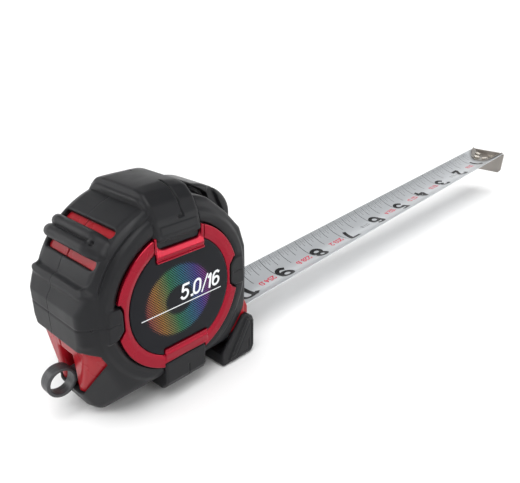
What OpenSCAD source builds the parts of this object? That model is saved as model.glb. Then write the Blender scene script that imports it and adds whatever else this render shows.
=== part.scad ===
// Pocket tape measure, 5 m / 16 ft blade of 25 mm, thumb lock, strap ring.
// Frame: +X runs out along the blade, +Z is up, the right-hand face is on -Y.
// The origin lies on the base plane, straight below the reel axis.

/* [Case] */
// Height of the reel axis above the base plane
axis_z = 37.6; // [37.4:0.1:37.8]
// Half width of the case halves
shell_half_w = 17; // [16.8:0.1:17.2]
// Half width of the elastomer grip at its shoulders
grip_half_w = 18.3; // [18.2:0.1:18.5]
// Radius of the grip around the reel axis
grip_r = 33; // [32.8:0.1:33.2]
// Radius of the top strap's crown around the reel axis
strap_r = 36.9; // [36.7:0.1:37]
// Half length of each strap along the blade
strap_half_l = 8.7; // [8.5:0.1:8.8]
// Wall thickness of the case halves' sides
wall = 1.9; // [1.7:0.1:2]
// Parting plane of the two case halves
seam_y = 2.4; // [2:0.1:2.6]

/* [Faces] */
// Outer radius of the face ring
ring_ro = 24.8; // [24.6:0.1:25]
// Inner radius of the face ring, which is the badge's radius
ring_ri = 20.2; // [20:0.1:20.4]
// Half width over the face rings
ring_half_w = 19.4; // [19.2:0.1:19.5]

/* [Blade] */
// Width across the drawn-out, cambered blade
blade_chord = 22.4; // [22.2:0.1:22.6]
// Depth of the blade's camber
blade_sag = 4; // [3.8:0.1:4.2]
// Thickness of the coated blade
blade_t = 0.4; // [0.3:0.05:0.4]
// Upward slope of the drawn-out blade, in degrees
blade_tilt = 3.05; // [3:0.05:3.1]
// Distance from the reel axis to the hook
hook_x = 296.2; // [296:0.1:297]
// Height of the blade's edges at the hook
hook_z = 29.9; // [29.8:0.1:30]
// Outer radius of the wound part of the blade
roll_r = 24.4; // [24:0.1:24.5]

/* [Hook] */
// Thickness of the hook, which is also how far it floats
hook_t = 1.1; // [1:0.05:1.2]
// Drop of the hook below the blade's edges
hook_drop = 14; // [13:0.1:14.5]

/* [Strap ring] */
// Outer radius of the strap ring
eye_ro = 5.2; // [5.1:0.1:5.3]
// Bore radius of the strap ring
eye_ri = 3.9; // [3.8:0.1:4]
// Width of the strap ring along its axis
eye_w = 4.4; // [4:0.1:4.6]

/* [Hidden] */
$fn = 96;

red = [0.72, 0.05, 0.09];
black = [0.13, 0.13, 0.14];
steel = [0.75, 0.75, 0.74];

cam_r = (pow(blade_chord / 2, 2) + pow(blade_sag, 2)) / (2 * blade_sag); // camber radius
reel_r = 15;       // drum radius that the blade winds on
cav_r = 27.6;      // reel room in the case
sw = shell_half_w;
rw = ring_half_w;
ring_seat = rw - 1.6;     // plane that the ring and the badge lie on
lever_r = 32.9;           // inner radius of the lock lever
eye_c = [-36.1, 14.6];    // strap ring centre, x and z
eye_pin = [-29.2, 14.6];  // strap ring pin, x and z
slot_a = [127.6, 144.9];  // centre angles of the two rear slots
rib_a = 136.2;            // centre angle of the double rib
screw_xz = [[-22.0, 12.8, 12.2], [-20.3, 58.6, 13.8], [22.0, 56.9, 13.8], [2.6, 8.2, 10.0]]; // x, z and the head's plane

// ---- helpers -------------------------------------------------------------
function arc(cx, cz, r, a0, a1, n) = [for (i = [0:n]) let (a = a0 + (a1 - a0) * i / n) [cx + r * cos(a), cz + r * sin(a)]];
// outline points given from the reel axis
function rel(pts) = [for (p = pts) [p[0], p[1] + axis_z]];
// extrude an XZ outline between two Y planes
module prism(pts, y0, y1) rotate([90, 0, 0]) translate([0, 0, -y1]) linear_extrude(y1 - y0) polygon(pts);
// slanted cut beside the strap ring, moved inwards by d
module corner_cut(d) both() translate([-28.5 + d, -13 + d, 15]) rotate([0, 0, 45]) rotate([0, -17, 0]) box([-20, -40, -17], [0, 40, 14]);
// extrude a YZ outline between two X planes
module girth(pts, x0, x1) rotate([90, 0, 90]) translate([0, 0, x0]) linear_extrude(x1 - x0) polygon(pts);
module cyl_y(x, z, r, y0, y1) translate([x, y0, z]) rotate([-90, 0, 0]) cylinder(h = y1 - y0, r = r);
module box(a, b) translate(a) cube([b[0] - a[0], b[1] - a[1], b[2] - a[2]]);
// box on a ray from the reel axis at angle a
module ray_box(a, b0, b1) translate([0, 0, axis_z]) rotate([0, -a, 0]) box(b0, b1);
// sector of the reel's side outline
module sector(r, a0, a1, y0, y1) prism(rel(concat([[0, 0]], arc(0, 0, r, a0, a1, 14))), y0, y1);
module left() mirror([0, 1, 0]) children();
module both() { children(); left() children(); }
module right_of_seam() intersection() { children(); box([-60, -40, -5], [60, seam_y, 90]); }
module left_of_seam() intersection() { children(); box([-60, seam_y, -5], [60, 40, 90]); }
// frame of the drawn-out blade: origin at the edges' height at the hook, +X outwards
module on_blade() translate([hook_x, 0, hook_z]) rotate([0, -blade_tilt, 0]) children();

// side outline of the grip, grown inwards by d
function grip_pts(d) = let (r = grip_r - d) concat(
  arc(0, axis_z, r, 64, 128, 14),
  arc(0, axis_z, r - 0.5, 130, 158, 8),
  [[-32.0 + d, 47.6 - d * 0.4], [-34.9 + d, 42], [-34.9 + d, 30], [-33.8 + d, 12.5], [-30.6 + d * 0.8, 4.6 + d], [-24 + d * 0.4, d]],
  [[30 - d, d], [32 - d, 5], [32.6 - d, 22]],
  [[32.6 - d, 47], [31 - d, 54.5 - d * 0.5], [22.5 - d * 0.5, 62.5 - d * 0.8]]);
// side outline of the case half
shell_pts = concat(
  arc(0, axis_z, 31.3, 52, 165, 26),
  [[-32.5, 41.5], [-33, 29.5], [-32, 10.5], [-28.6, 5.4], [29, 5.4], [31, 8]],
  [[31, 48], [25.4, 56.6]]);
// YZ outline that bevels the grip's lower edges and rounds its shoulders
girth_pts = [[-5.6, 0], [-12.2, 6], [-16.6, 10], [-18.3, 12.5], [-18.3, 61], [-14.2, 71.5], [14.2, 71.5], [18.3, 61], [18.3, 12.5], [16.6, 10], [12.2, 6], [5.6, 0]];

// ---- case halves -----------------------------------------------------------
module shell_body() difference() {
  intersection() {
    prism(shell_pts, -sw, sw);
    girth([[-10, 5], [-15, 10], [-17, 12.5], [-17, 59], [-14, 68.9], [14, 68.9], [17, 59], [17, 12.5], [15, 10], [10, 5]], -40, 40);
  }
  corner_cut(0.9);
}
module shell() {
  difference() {
    union() {
      shell_body();
      both() {
        // cheek beside the blade
        prism([[28, 12.4], [33.4, 12.8], [34.3, 15], [34.3, 18], [31.8, 23], [28, 23.4]], -14.6, -12.5);
        // ring seat
        cyl_y(0, axis_z, ring_ro - 0.3, -ring_seat, -sw + 0.1);
      }
    }
    // reel room
    cyl_y(0, axis_z, cav_r, -sw + wall, sw - wall);
    // blade room and mouth
    box([6, -12.5, 8.8], [40, 12.5, 21.5]);
    box([6, -12.5, 21], [28, 12.5, 31]);
    // lock room
    box([10, -6, 22], [29.6, 6, 60]);
    sector(46, 20, 74.5, -9.1, 9.1);
    // strap ring pocket
    box([-42, -3.2, 4], [-29.2, 3.2, 23.5]);
    cyl_y(eye_pin[0], eye_pin[1], 2.6, -3.2, 3.2);
    cyl_y(eye_pin[0], eye_pin[1], 1.0, -8.2, 8.2);
    // arbor seat
    cyl_y(0, axis_z, 3.5, -sw + 1, sw - wall);
  }
}
module shell_right() color(red) difference() {
  right_of_seam() shell();
  for (p = screw_xz) cyl_y(p[0], p[1], 1.25, 0.3 - p[2], 20);
}
module shell_left() color(red) difference() {
  left_of_seam() shell();
  for (p = screw_xz) { cyl_y(p[0], p[1], 1.6, 0, 20); cyl_y(p[0], p[1], 2.15, p[2], 20); }
  // way for the clip screw
  cyl_y(0, axis_z, 1.6, 12, 19);
}

// ---- grip ------------------------------------------------------------------
module grip() difference() {
  intersection() {
    union() {
      prism(grip_pts(0), -13.6, 13.6);
      prism(grip_pts(1.1), -15.6, 15.6);
      prism(grip_pts(2.6), -17.2, 17.2);
      prism(grip_pts(4.6), -grip_half_w, grip_half_w);
    }
    girth(girth_pts, -50, 50);
  }
  // room for the case
  shell_body();
  both() cyl_y(0, axis_z, ring_ro + 0.4, -22, -sw + 0.1);
  // rear slots
  for (a = slot_a) ray_box(a, [28, -13.6, -1.9], [40, 13.6, 1.9]);
  // seat of the double rib
  ray_box(rib_a, [28, -13.6, -3.6], [40, 13.6, 3.6]);
  // open corner at the strap ring
  girth([[-15.5, 29.5], [-9.5, 8.5], [9.5, 8.5], [15.5, 29.5]], -44, -25.5);
  corner_cut(0);
  // blade mouth
  box([20, -14.7, 8.6], [42, 14.7, 23.6]);
  // lever opening
  sector(50, 20, 74.5, -9.1, 9.1);
  // strap seats, top and bottom
  box([-strap_half_l - 0.01, -25, 50], [strap_half_l + 0.01, 25, 80]);
  box([-strap_half_l - 0.01, -25, -1], [strap_half_l + 0.01, 25, 24]);
  // toe seat
  prism([[17.6, -1], [42, -1], [42, 17.9], [28.4, 17.9], [17.6, 5.6]], -25, 25);
  // arch between the middle foot and the toe
  cyl_y(13.3, -1.6, 4.8, -25, 25);
}
module side_tabs() difference() {
  union() {
    prism([[-26.8, 42.8], [-23, 42.8], [-22.5, 41.3], [-22.5, 35.2], [-24.8, 32.6], [-27.8, 32.2]], -rw, -sw - 0.02);
    prism([[26.2, 43.8], [23.3, 43.4], [21.6, 41.3], [21.6, 34.8], [23.4, 33], [27.7, 33]], -rw, -sw - 0.02);
  }
  cyl_y(0, axis_z, ring_ro - 0.28, -ring_seat - 0.01, -sw + 0.2);
}
module grip_right() color(black) { right_of_seam() grip(); side_tabs(); }
module grip_left() color(black) { left_of_seam() grip(); left() side_tabs(); }

// ---- straps ----------------------------------------------------------------
module strap_seat() {
  prism(shell_pts, -sw - 0.02, sw + 0.02);
  both() cyl_y(0, axis_z, ring_ro - 0.25, -ring_seat - 0.02, -sw + 0.1);
}
module top_strap() color(black) difference() {
  intersection() {
    girth([[-rw - 0.2, 56.5], [-rw - 0.2, 60], [-18.6, 65.5], [-15.6, 70.6], [-12, 73.5], [0, 74.6], [12, 73.5], [15.6, 70.6], [18.6, 65.5], [rw + 0.2, 60], [rw + 0.2, 56.5],
      [16.8, 56.5], [16.8, 62], [-16.8, 62], [-16.8, 56.5]], -strap_half_l, strap_half_l);
    cyl_y(0, axis_z, strap_r, -30, 30);
  }
  strap_seat();
}
module bottom_strap() color(black) difference() {
  girth([[-rw - 0.2, 15.9], [-rw - 0.2, 7.5], [-18.8, 6.4], [-12.6, 0], [12.6, 0], [18.8, 6.4], [rw + 0.2, 7.5], [rw + 0.2, 15.9],
    [16.8, 15.9], [16.8, 12], [-16.8, 12], [-16.8, 15.9]], -strap_half_l, strap_half_l);
  strap_seat();
  prism([[-9, 3], [-4.6, 0], [-4.6, -1], [-9, -1]], -20, 20);
}
module front_toe() color(black) difference() {
  union() {
    prism([[17.7, 0], [33, 0], [34.5, 2.2], [34.5, 13.4], [33.6, 15.6], [31, 17.8], [28.5, 17.8], [17.7, 5.5]], -18.3, 18.3);
    both() prism([[19.5, 1], [32.4, 1], [33.6, 2.6], [33.6, 13], [32.8, 15], [30.8, 16.8], [29.2, 16.8]], -19.2, -18.2);
  }
  prism(shell_pts, -sw - 0.02, sw + 0.02);
  // room for the blade, its guide and the cheeks
  box([20, -14.7, 5.42], [42, 14.7, 25]);
  cyl_y(13.3, -1.6, 4.8, -25, 25);
}
module rear_rib() color(black) difference() {
  union() {
    for (a = [-1, 1]) ray_box(rib_a, [31.35, -13.5, a * 2.2 - 1.3], [35.4, 13.5, a * 2.2 + 1.3]);
    ray_box(rib_a, [31.35, -13.5, -2.5], [33.6, 13.5, 2.5]);
  }
  prism(shell_pts, -sw, sw);
}

// ---- faces -----------------------------------------------------------------
module face_ring() difference() {
  union() {
    cyl_y(0, axis_z, ring_ro, -rw, -ring_seat);
    // seats of the strap ends
    box([-9.4, -rw - 0.3, 52.6], [9.8, -ring_seat, 56.4]);
    box([-8.6, -rw - 0.3, 16], [9.8, -ring_seat, 21.5]);
  }
  difference() {
    cyl_y(0, axis_z, ring_ri + 0.02, -25, -ring_seat + 1);
    box([-9.42, -26, 52.6], [9.82, -10, 60]);
    box([-8.62, -26, 10], [9.82, -10, 21.5]);
  }
  // strap ends
  box([-strap_half_l - 0.05, -25, 56.45], [strap_half_l + 0.05, -10, 72]);
  box([-strap_half_l - 0.05, -25, 0], [strap_half_l + 0.05, -10, 15.95]);
  // side tabs
  prism([[-31, 43.8], [-22.4, 43.8], [-22.4, 34.7], [-24.8, 31.8], [-31, 31.8]], -25, -10);
  prism([[31, 44.2], [23, 44.2], [21.5, 41.7], [21.5, 34.6], [23.4, 32.2], [31, 32.2]], -25, -10);
}
module face_ring_right() color([0.75, 0.04, 0.09]) face_ring();
module face_ring_left() color([0.75, 0.04, 0.09]) left() face_ring();
module face_label() difference() {
  cyl_y(0, axis_z, ring_ri, -rw - 0.2, -ring_seat);
  box([-30, -25, 52.58], [30, -10, 72]);
  box([-30, -25, 0], [30, -10, 21.52]);
}
module face_label_right() color([0.1, 0.1, 0.12]) face_label();
module face_label_left() color([0.1, 0.1, 0.12]) difference() {
  left() face_label();
  cyl_y(0, axis_z, 1.6, 10, 25);
}

// ---- fixed inner pieces -----------------------------------------------------
module centre_post() color(steel) difference() {
  cyl_y(0, axis_z, 3.5, -sw + 1, sw - wall);
  // slit that the spring's inner end hooks in
  box([-0.5, -12, axis_z - 4], [0.5, 5, axis_z + 4]);
  cyl_y(0, axis_z, 1.5, 7, 20);
}
module mouth_guide() color([0.2, 0.2, 0.21]) difference() {
  on_blade() translate([-286, 0, -blade_sag - 1.6]) rotate([90, 0, 90]) linear_extrude(24)
    polygon(concat([for (i = [0:12]) let (a = -131 + i * 82 / 12) [cos(a) * (cam_r + 1.0), sin(a) * (cam_r + 1.0) + cam_r + 1.6]], [[12.3, -1], [-12.3, -1]]));
  box([0, -30, -5], [60, 30, 8.82]);
  box([31, -30, -5], [60, 30, 30]);
}
module mouth_bumper() color(black) box([34.5, -11.5, 2.2], [36.3, 11.5, 5.2]);
module lever_track() color(steel) difference() {
  sector(32.4, 43, 62, -9.1, 9.1);
  cyl_y(0, axis_z, 31.7, -10, 10);
}
module belt_clip() color(steel) difference() {
  // leg on the badge, bow, and tongue with a flared tip
  girth(concat(
    [[19.75, 29.5], [20.75, 29.5]],
    [for (i = [0:8]) let (a = 180 - i * 22.5) [22.45 + 1.7 * cos(a), 57 + 1.7 * sin(a)]],
    [[23.7, 22], [24.0, 18], [25.2, 13], [26.1, 13.3], [25.0, 18], [24.7, 22], [25.15, 57]],
    [for (i = [0:8]) let (a = i * 22.5) [22.45 + 2.7 * cos(a), 57 + 2.7 * sin(a)]],
    [[19.75, 57]]), -7, 7);
  cyl_y(0, axis_z, 1.6, 15, 21.5);
  cyl_y(0, axis_z, 3.2, 21.6, 30);
}
module clip_screw() color([0.5, 0.5, 0.5]) union() {
  cyl_y(0, axis_z, 1.5, 8, 20.8);
  cyl_y(0, axis_z, 2.9, 20.75, 22.1);
}
module case_screws() color([0.5, 0.5, 0.5]) for (p = screw_xz) {
  cyl_y(p[0], p[1], 1.25, 0.4 - p[2], p[2] + 0.2);
  cyl_y(p[0], p[1], 2.0, p[2], p[2] + 1.8);
}
module eyelet_pin() color(steel) cyl_y(eye_pin[0], eye_pin[1], 1.0, -8, 8);

// ---- reel ------------------------------------------------------------------
module reel_drum() color([0.85, 0.85, 0.82]) difference() {
  union() { cyl_y(0, axis_z, reel_r, -12.6, 12.6); cyl_y(0, axis_z, 25.6, -13.8, -12.6); }
  cyl_y(0, axis_z, reel_r - 1.6, -11.4, 20);
  cyl_y(0, axis_z, 3.55, -20, 20);
}
module reel_cover() color([0.85, 0.85, 0.82]) difference() {
  union() { cyl_y(0, axis_z, 25.6, 12.65, 13.8); cyl_y(0, axis_z, reel_r - 1.65, 11.6, 12.66); }
  cyl_y(0, axis_z, 3.55, -20, 20);
}
module mainspring() color([0.35, 0.36, 0.4]) difference() {
  cyl_y(0, axis_z, 12.9, -11, 11);
  cyl_y(0, axis_z, 7.2, -12, 12);
}
module blade_roll() color([0.8, 0.8, 0.78]) difference() {
  cyl_y(0, axis_z, roll_r, -12.5, 12.5);
  cyl_y(0, axis_z, reel_r, -13, 13);
}

// ---- blade -----------------------------------------------------------------
module camber(r0, r1, x0, x1, w) translate([0, 0, -blade_sag + cam_r]) intersection() {
  difference() {
    translate([x0, 0, 0]) rotate([0, 90, 0]) cylinder(h = x1 - x0, r = r1);
    translate([x0 - 1, 0, 0]) rotate([0, 90, 0]) cylinder(h = x1 - x0 + 2, r = r0);
  }
  box([x0 - 2, -w / 2, -cam_r - 1], [x1 + 2, w / 2, -4]);
}
rivets = [[-5.2, -17], [-5.2, 17], [-11.2, -10], [-11.2, 10]]; // x from the hook, angle on the camber
module at_rivet(p) translate([p[0], 0, -blade_sag + cam_r]) rotate([p[1], 0, 0]) children();
module blade() color([0.82, 0.82, 0.8]) on_blade() difference() {
  camber(cam_r - blade_t, cam_r, -286, -0.05, blade_chord);
  for (p = rivets) at_rivet(p) translate([0, 0, -cam_r - 2]) cylinder(h = 6, r = 1.0);
}
module hook_rivets() color([0.9, 0.88, 0.82]) on_blade() for (p = rivets) at_rivet(p) {
  translate([0, 0, -cam_r - 0.4]) cylinder(h = 2.4, r = 0.99);
  translate([0, 0, -cam_r - 0.6]) cylinder(h = 0.5, r = 1.8);
  translate([0, 0, -cam_r + 1.62]) cylinder(h = 0.6, r = 1.8);
}
module end_hook() color([0.6, 0.58, 0.54]) on_blade() difference() {
  union() {
    // tongue on the blade
    intersection() {
      camber(cam_r - blade_t - 0.05 - 1.0, cam_r - blade_t - 0.05, -15, 0.02, 21);
      translate([0, 0, -6]) linear_extrude(8) polygon([[0.1, -10.4], [-4.5, -9.8], [-12.5, -6.2], [-14.9, -3], [-14.9, 3], [-12.5, 6.2], [-4.5, 9.8], [0.1, 10.4]]);
    }
    // plate
    rotate([90, 0, 90]) linear_extrude(hook_t) polygon([[-10.4, 0.2], [-11.6, -1.2], [-11, 2 - hook_drop], [-9.4, -hook_drop], [9.4, -hook_drop], [11, 2 - hook_drop], [11.6, -1.2], [10.4, 0.2]]);
  }
  // slots that let the hook float on its rivets
  for (p = rivets) at_rivet(p) {
    translate([0, 0, -cam_r - 2]) cylinder(h = 6, r = 1.12);
    translate([-1.15, 0, -cam_r - 2]) cylinder(h = 6, r = 1.12);
    translate([-1.15, -1.12, -cam_r - 2]) cube([1.15, 2.24, 6]);
  }
}

// ---- lock ------------------------------------------------------------------
module lock_lever() color(black) difference() {
  prism(rel(concat(arc(0, 0, lever_r, 24, 63, 12), [[14.8, 32.4], [19, 31.4], [23.5, 29.3], [27.4, 26.6], [30.3, 23.2], [31.6, 19.6], [31.6, 14.9]])), -8.6, 8.6);
  cyl_y(0, axis_z, lever_r, -20, 20);
}
module brake_arm() color([0.7, 0.1, 0.1])
  prism(rel([[lever_r * cos(24.5), lever_r * sin(24.5)], [lever_r * cos(30), lever_r * sin(30)], [26.0, 14.5], [25.0, 4], [25.0, -6], [22.0, -15], [18.0, -22.0], [21.2, -22.6], [25.0, -15], [27.2, -6], [27.4, 4], [28.4, 10]]), -5, 5);
module brake_pad() color([0.2, 0.2, 0.2])
  prism(rel([[18.0, -22.0], [21.2, -22.6], [21.4, -25.0], [17.9, -25.0]]), -4, 4);

// ---- strap ring --------------------------------------------------------------
module strap_eyelet() color([0.3, 0.3, 0.31]) difference() {
  union() {
    cyl_y(eye_c[0], eye_c[1], eye_ro, -eye_w / 2, eye_w / 2);
    box([-33, -eye_w / 2, eye_pin[1] - 1.8], [eye_pin[0], eye_w / 2, eye_pin[1] + 1.8]);
    cyl_y(eye_pin[0], eye_pin[1], 1.8, -eye_w / 2, eye_w / 2);
  }
  cyl_y(eye_c[0], eye_c[1], eye_ri, -5, 5);
  cyl_y(eye_pin[0], eye_pin[1], 1.05, -5, 5);
}

shell_right();
shell_left();
grip_right();
grip_left();
top_strap();
bottom_strap();
front_toe();
rear_rib();
face_ring_right();
face_ring_left();
face_label_right();
face_label_left();
centre_post();
mouth_guide();
mouth_bumper();
lever_track();
belt_clip();
clip_screw();
case_screws();
eyelet_pin();
reel_drum();
reel_cover();
mainspring();
blade_roll();
blade();
hook_rivets();
end_hook();
lock_lever();
brake_arm();
brake_pad();
strap_eyelet();
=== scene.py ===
import bpy
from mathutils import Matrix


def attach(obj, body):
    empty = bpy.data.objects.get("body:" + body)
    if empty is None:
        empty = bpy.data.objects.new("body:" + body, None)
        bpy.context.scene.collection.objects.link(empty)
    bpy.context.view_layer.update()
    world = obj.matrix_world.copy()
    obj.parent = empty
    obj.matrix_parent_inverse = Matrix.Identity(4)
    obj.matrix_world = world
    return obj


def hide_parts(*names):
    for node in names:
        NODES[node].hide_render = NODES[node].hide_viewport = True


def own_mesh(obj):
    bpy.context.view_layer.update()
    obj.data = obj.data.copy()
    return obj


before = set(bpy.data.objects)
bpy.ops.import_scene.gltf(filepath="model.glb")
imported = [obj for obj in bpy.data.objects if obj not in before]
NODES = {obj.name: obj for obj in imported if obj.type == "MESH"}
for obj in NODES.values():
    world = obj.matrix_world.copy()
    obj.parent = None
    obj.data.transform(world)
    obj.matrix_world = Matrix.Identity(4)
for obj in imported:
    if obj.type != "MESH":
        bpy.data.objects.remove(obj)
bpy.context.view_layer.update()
import bpy, math
import numpy as np
from mathutils import Matrix, Vector

MM = 0.001

# ---------------------------------------------------------------- camera
AZ, EL, ROLL = math.radians(42.793), math.radians(23.450), math.radians(0.594)
fw = Vector((math.cos(EL) * math.cos(AZ), math.cos(EL) * math.sin(AZ), -math.sin(EL)))
right = fw.cross(Vector((0, 0, 1))).normalized()
up = right.cross(fw)
r2 = math.cos(ROLL) * right + math.sin(ROLL) * up
u2 = -math.sin(ROLL) * right + math.cos(ROLL) * up
cam = bpy.data.objects.new("camera", bpy.data.cameras.new("camera"))
bpy.context.scene.collection.objects.link(cam)
cam.data.lens = 545.69 * 36 / 520
cam.data.sensor_width = 36
cam.data.clip_start, cam.data.clip_end = 0.005, 20
m = Matrix((r2, u2, -fw)).transposed().to_4x4()
m.translation = Vector((-96.89, -142.60, 87.04 + 37.6)) * MM
cam.matrix_world = m
bpy.context.scene.camera = cam
bpy.context.scene.view_settings.view_transform = "Standard"
bpy.context.scene.view_settings.look = "None"

# ---------------------------------------------------------------- distance fields, in mm
AX = 37.6


def smax(a, b, k):
    return np.maximum(a, b) + k * 0.25 * np.maximum(1 - np.abs(a - b) / k, 0) ** 2


def smin(a, b, k):
    return -smax(-a, -b, k)


def step01(t):
    t = np.clip(t, 0, 1)
    return t * t * (3 - 2 * t)


def poly(px, py, pts):
    pts = np.asarray(pts, float)
    d, inside = None, None
    for i in range(len(pts)):
        a, b = pts[i], pts[(i + 1) % len(pts)]
        ex, ey = b - a
        wx, wy = px - a[0], py - a[1]
        t = np.clip((wx * ex + wy * ey) / (ex * ex + ey * ey + 1e-12), 0, 1)
        dd = (wx - ex * t) ** 2 + (wy - ey * t) ** 2
        d = dd if d is None else np.minimum(d, dd)
        c = ((a[1] <= py) & (py < b[1])) | ((b[1] <= py) & (py < a[1]))
        cr = c & (px < a[0] + (py - a[1]) * ex / (ey if abs(ey) > 1e-9 else 1e-9))
        inside = cr if inside is None else inside ^ cr
    d = np.sqrt(d)
    return np.where(inside, -d, d)


def inset(pts, r):
    pts = np.asarray(pts, float)
    nx = np.roll(pts, -1, 0)
    area = (pts[:, 0] * nx[:, 1] - nx[:, 0] * pts[:, 1]).sum()
    if area < 0:
        pts = pts[::-1]
    d = np.roll(pts, -1, 0) - pts
    d /= np.linalg.norm(d, axis=1)[:, None]
    n2 = np.stack([-d[:, 1], d[:, 0]], 1)
    n1 = np.roll(n2, 1, 0)
    return pts + r * (n1 + n2) / np.maximum(1 + (n1 * n2).sum(1), 0.25)[:, None]


def rpoly(px, py, pts, r):
    return poly(px, py, inset(pts, r)) - r


def rbox2(px, py, cx, cy, hx, hy, r):
    qx, qy = np.abs(px - cx) - hx + r, np.abs(py - cy) - hy + r
    return np.hypot(np.maximum(qx, 0), np.maximum(qy, 0)) + np.minimum(np.maximum(qx, qy), 0) - r


def rbox3(x, y, z, lo, hi, r):
    q = [np.abs(v - (a + b) / 2) - (b - a) / 2 + r for v, a, b in zip((x, y, z), lo, hi)]
    out = np.sqrt(sum(np.maximum(v, 0) ** 2 for v in q))
    return out + np.minimum(np.maximum(np.maximum(q[0], q[1]), q[2]), 0) - r


def engrave(f, g, depth):
    return np.maximum(f, np.minimum(-g, f + depth))


def arc(cx, cz, r, a0, a1, n):
    return [(cx + r * math.cos(math.radians(a0 + (a1 - a0) * i / n)), cz + r * math.sin(math.radians(a0 + (a1 - a0) * i / n))) for i in range(n + 1)]


def polar(x, z):
    return np.hypot(x, z - AX), np.degrees(np.arctan2(z - AX, x)) % 360


def table(v, xs, ys, soft):
    t = np.linspace(xs[0] - 4, xs[-1] + 4, 400)
    y = np.interp(t, xs, ys)
    k = np.exp(-0.5 * (np.arange(-40, 41) * (t[1] - t[0]) / soft) ** 2)
    y = np.convolve(np.pad(y, 40, mode="edge"), k / k.sum(), mode="valid")
    return np.interp(v, t, y)


def net(name, f, lo, hi, h, mat, snap=3):
    """A mesh of the surface f = 0, one vertex a cell, moved onto the surface."""
    ax = [np.arange(a, b + h, h) for a, b in zip(lo, hi)]
    X, Y, Z = ax[0][:, None, None], ax[1][None, :, None], ax[2][None, None, :]
    V = np.broadcast_to(f(X, Y, Z), (len(ax[0]), len(ax[1]), len(ax[2]))).astype(np.float32)
    s = V < 0
    n = [k - 1 for k in s.shape]
    cnt = np.zeros(n, np.int8)
    cor = [(i, j, k) for i in (0, 1) for j in (0, 1) for k in (0, 1)]
    for i, j, k in cor:
        cnt += s[i:n[0] + i, j:n[1] + j, k:n[2] + k]
    act = (cnt > 0) & (cnt < 8)
    I = np.argwhere(act)
    idx = np.full(n, -1, np.int64)
    idx[act] = np.arange(len(I))
    v8 = {c: V[I[:, 0] + c[0], I[:, 1] + c[1], I[:, 2] + c[2]].astype(float) for c in cor}
    acc, num = np.zeros((len(I), 3)), np.zeros(len(I))
    for a in cor:
        for q in range(3):
            if a[q] == 0:
                b = tuple(1 if t == q else a[t] for t in range(3))
                va, vb = v8[a], v8[b]
                cr = (va < 0) != (vb < 0)
                t = np.where(cr, va / np.where(cr, va - vb, 1), 0)
                p = np.array(a, float)[None, :] + np.zeros((len(I), 3))
                p[:, q] = t
                acc += np.where(cr[:, None], p, 0)
                num += cr
    P = np.array([a[0] for a in ax]) + (I + acc / num[:, None]) * h
    e = h * 0.2
    for _ in range(snap):
        x, y, z = P[:, 0], P[:, 1], P[:, 2]
        f0 = f(x, y, z)
        g = np.stack([f(x + e, y, z) - f(x - e, y, z), f(x, y + e, z) - f(x, y - e, z), f(x, y, z + e) - f(x, y, z - e)], 1) / (2 * e)
        gg = np.maximum((g * g).sum(1), 0.2)
        mv = -(f0 / gg)[:, None] * g
        ln = np.linalg.norm(mv, axis=1)
        P += mv * np.minimum(1, 0.35 * h / np.maximum(ln, 1e-9))[:, None]
    F = []
    for q in range(3):
        a, b = (q + 1) % 3, (q + 2) % 3
        sl = [slice(1, -1)] * 3
        sl[q] = slice(0, -1)
        s0 = s[tuple(sl)]
        s2 = list(sl)
        s2[q] = slice(1, None)
        s1 = s[tuple(s2)]
        for flip in (False, True):
            c = np.argwhere((s0 & ~s1) if not flip else (~s0 & s1))
            if not len(c):
                continue
            base = c.copy()
            base[:, a] += 0
            base[:, b] += 0
            q4 = []
            for da, db in ((0, 0), (1, 0), (1, 1), (0, 1)):
                cc = base.copy()
                cc[:, a] += da
                cc[:, b] += db
                q4.append(idx[cc[:, 0], cc[:, 1], cc[:, 2]])
            q4 = np.stack(q4, 1)
            F.append(q4[:, ::-1] if flip else q4)
    F = np.concatenate(F)
    F = F[(F >= 0).all(1)]
    # only the large connected surfaces are kept
    lab = np.arange(len(P))
    for _ in range(200):
        old = lab.copy()
        m = lab[F].min(1)
        for k in range(4):
            np.minimum.at(lab, F[:, k], m)
        lab = lab[lab]
        if (lab == old).all():
            break
    size = np.bincount(lab[F[:, 0]], minlength=len(P))
    F = F[size[lab[F[:, 0]]] > 0.02 * len(F)]
    used = np.unique(F)
    new = np.full(len(P), -1, np.int64)
    new[used] = np.arange(len(used))
    return mesh(name, P[used], new[F], mat)


def mesh(name, P, F, mat, smooth=True):
    me = bpy.data.meshes.new(name)
    P, F = np.asarray(P, float) * MM, np.asarray(F)
    me.vertices.add(len(P))
    me.vertices.foreach_set("co", P.astype(np.float32).ravel())
    k = F.shape[1]
    me.loops.add(F.size)
    me.loops.foreach_set("vertex_index", F.astype(np.int32).ravel())
    me.polygons.add(len(F))
    me.polygons.foreach_set("loop_start", np.arange(0, F.size, k, dtype=np.int32))
    me.polygons.foreach_set("loop_total", np.full(len(F), k, np.int32))
    me.polygons.foreach_set("use_smooth", np.full(len(F), smooth))
    me.update(calc_edges=True)
    me.validate()
    o = bpy.data.objects.new(name, me)
    bpy.context.scene.collection.objects.link(o)
    for x in mat if isinstance(mat, (list, tuple)) else [mat]:
        me.materials.append(x)
    return o


# ---------------------------------------------------------------- materials
def principled(name, color, rough=0.5, metal=0.0, spec=0.5, coat=0.0, coat_rough=0.1):
    mt = bpy.data.materials.new(name)
    mt.use_nodes = True
    b = mt.node_tree.nodes["Principled BSDF"]
    b.inputs["Base Color"].default_value = (*color, 1)
    b.inputs["Roughness"].default_value = rough
    b.inputs["Metallic"].default_value = metal
    b.inputs["Specular IOR Level"].default_value = spec
    b.inputs["Coat Weight"].default_value = coat
    b.inputs["Coat Roughness"].default_value = coat_rough
    mt.diffuse_color = (*color, 1)
    return mt


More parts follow.
